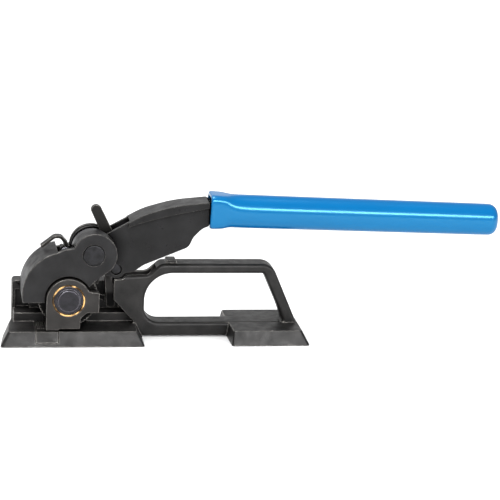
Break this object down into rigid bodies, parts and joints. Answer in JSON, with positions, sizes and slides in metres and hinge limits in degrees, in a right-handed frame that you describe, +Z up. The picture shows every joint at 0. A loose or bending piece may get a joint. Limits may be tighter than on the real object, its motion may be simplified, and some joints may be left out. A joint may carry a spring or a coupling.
{
  "type": "strapping tensioner",
  "caption": "Hand feed-wheel tensioner for steel strapping: cast base with hand loop, hinged rocker, ratchet, two pawls and a long lever with a vinyl grip.",
  "frame": {"origin": "on the sole, straight below the feed shaft's axis, at the middle of the strap's width", "axes": "+X along the strap towards the grip, +Y from the open side towards the rear wall, +Z up"},
  "size_m": [0.4287, 0.071, 0.1263],
  "materials": {
    "base_iron": "blackened, oiled, edges worn bright",
    "housing_iron": "blackened, oiled, edges worn bright",
    "plate_steel": "worn dark steel",
    "handle_steel": "black oxide",
    "hard_steel": "hardened, blackened",
    "shaft_steel": "turned steel",
    "pin_steel": "turned and blackened steel",
    "spring_steel": "oiled spring wire and plate",
    "bronze": "oiled sintered bronze",
    "blue_vinyl": "glossy dipped vinyl"
  },
  "bodies": {
    "base": {"base_casting": "base_iron", "gripper_plug": "hard_steel", "rocker_spring": "spring_steel", "spring_anchor": "pin_steel", "rocker_pivot_pin": "pin_steel", "rocker_pin_ring": "spring_steel"},
    "rocker": {"rocker_housing": "housing_iron", "bearing_plate": "plate_steel", "front_bushing": "bronze", "rear_bushing": "bronze", "lever_pivot_pin": "pin_steel", "lever_pin_ring": "spring_steel", "lever_spacer": "hard_steel", "holding_pawl_pin": "pin_steel", "holding_pawl_spring": "spring_steel"},
    "feed_train": {"feed_shaft": "shaft_steel", "feed_wheel": "hard_steel", "ratchet_wheel": "hard_steel", "shaft_ring": "spring_steel", "wheel_spacer": "shaft_steel"},
    "handle": {"handle_channel": "handle_steel", "hub_sleeve": "shaft_steel", "drive_pawl_pin": "pin_steel", "drive_pawl_spring": "spring_steel", "handle_grip": "blue_vinyl"},
    "drive_pawl": {"drive_pawl": "hard_steel"},
    "holding_pawl": {"holding_pawl": "hard_steel"}
  },
  "joints": [
    {"name": "rocker_lift", "type": "hinge", "parent": "base", "child": "rocker", "pos_m": [-0.024, 0, 0.0355], "axis": [0, -1, 0], "range_deg": [0, 8]},
    {"name": "feed_spin", "type": "hinge", "parent": "rocker", "child": "feed_train", "pos_m": [0, 0, 0.0393], "axis": [0, -1, 0], "continuous": true},
    {"name": "handle_swing", "type": "hinge", "parent": "rocker", "child": "handle", "pos_m": [0.0205, 0, 0.0772], "axis": [0, -1, 0], "range_deg": [0, 54]},
    {"name": "drive_pawl_swing", "type": "hinge", "parent": "handle", "child": "drive_pawl", "pos_m": [0.0408, 0, 0.0609], "axis": [0, -1, 0], "range_deg": [0, 5], "stiffness_Nm_per_rad": 0.06, "springref_deg": -34.38},
    {"name": "holding_pawl_swing", "type": "hinge", "parent": "rocker", "child": "holding_pawl", "pos_m": [-0.0015, 0, 0.0745], "axis": [0, -1, 0], "range_deg": [0, 6.5], "stiffness_Nm_per_rad": 0.05, "springref_deg": -34.38}
  ]
}
